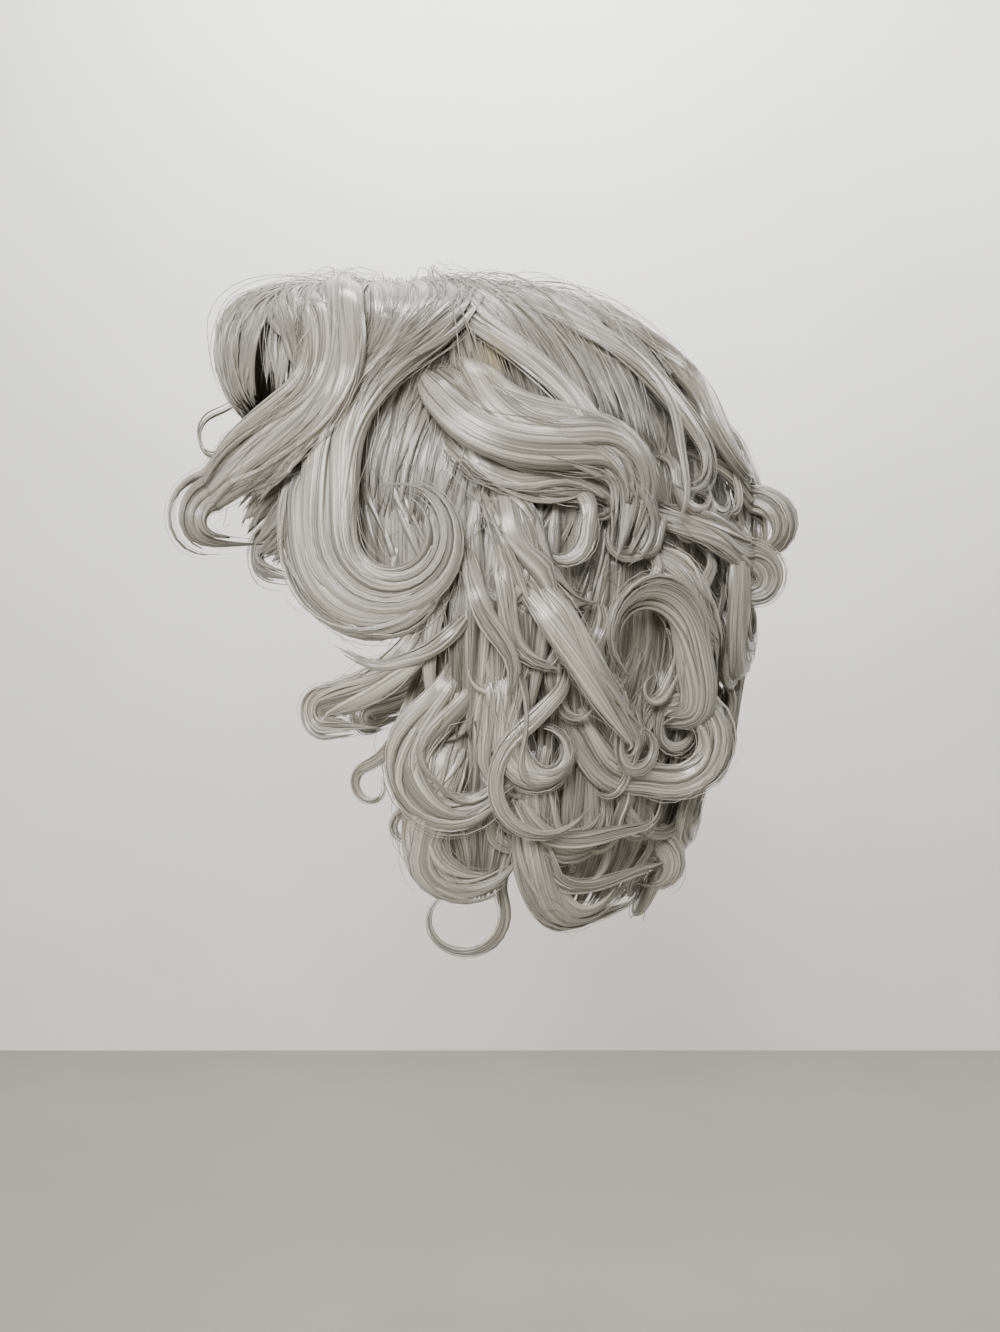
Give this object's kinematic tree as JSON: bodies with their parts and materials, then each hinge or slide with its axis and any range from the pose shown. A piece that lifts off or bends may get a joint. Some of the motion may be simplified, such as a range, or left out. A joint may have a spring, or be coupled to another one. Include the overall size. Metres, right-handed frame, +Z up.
{
  "type": "wavy wig",
  "caption": "Short silver-grey wavy wig: a net cap covered in swept, rolled and curled locks, with a raised front roll and loose rings at the neck.",
  "frame": {"origin": "inside of the cap's crown, where the top of the head touches", "axes": "+Z up, -Y the way the face looks, +X the wearer's left"},
  "size_m": [0.2085, 0.2503, 0.2692],
  "materials": {
    "cap_net": "stretch net and lace",
    "hair_fringe_left": "silky synthetic fibre",
    "hair_fringe_right": "silky synthetic fibre",
    "hair_left": "silky synthetic fibre",
    "hair_right": "silky synthetic fibre",
    "hair_back": "silky synthetic fibre",
    "hair_nape": "silky synthetic fibre"
  },
  "bodies": {
    "root": {"cap": "cap_net", "fringe_left": "hair_fringe_left", "fringe_right": "hair_fringe_right", "left_hair": "hair_left", "right_hair": "hair_right", "back_hair": "hair_back", "nape_hair": "hair_nape"}
  },
  "joints": []
}
